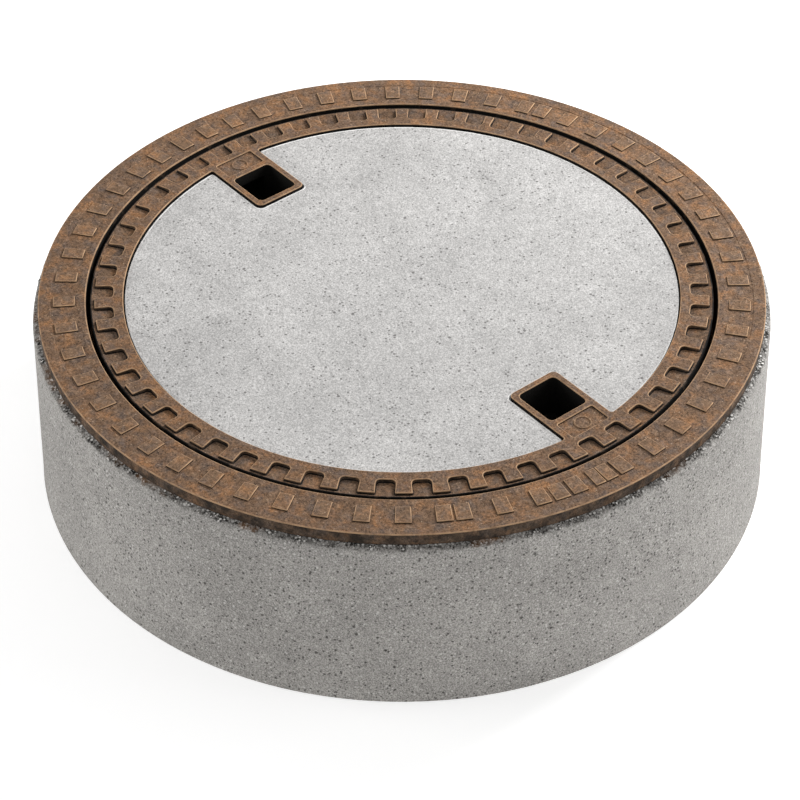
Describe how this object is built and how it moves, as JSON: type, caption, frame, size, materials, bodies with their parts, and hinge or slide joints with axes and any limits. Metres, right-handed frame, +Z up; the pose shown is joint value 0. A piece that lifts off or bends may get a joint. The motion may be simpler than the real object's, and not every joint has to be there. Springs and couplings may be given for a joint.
{
  "type": "manhole cover",
  "caption": "Round cast-iron and concrete manhole cover with two lifting pockets and a studded tread rim, lying in its cast-iron and concrete frame.",
  "frame": {"origin": "centre of the frame's base, on the ground plane the frame is bedded on", "axes": "+Z up to the road surface; the cover's two lifting pockets lie on the X axis"},
  "size_m": [0.7849, 0.785, 0.22],
  "materials": {
    "frame_concrete": "matte",
    "filling_concrete": "matte",
    "frame_iron": "matte",
    "cover_iron": "matte",
    "damping_rubber": "matte",
    "reinforcing_steel": "matte"
  },
  "bodies": {
    "frame": {"frame_concrete_body": "frame_concrete", "frame_casting": "frame_iron", "damping_ring": "damping_rubber", "lower_hoop": "reinforcing_steel", "upper_hoop": "reinforcing_steel", "stirrups": "reinforcing_steel"},
    "cover": {"cover_casting": "cover_iron", "cover_concrete_filling": "filling_concrete"}
  },
  "joints": [
    {"name": "cover_lift", "type": "slide", "parent": "frame", "child": "cover", "axis": [0, 0, 1], "range_m": [0, 0.25]}
  ]
}
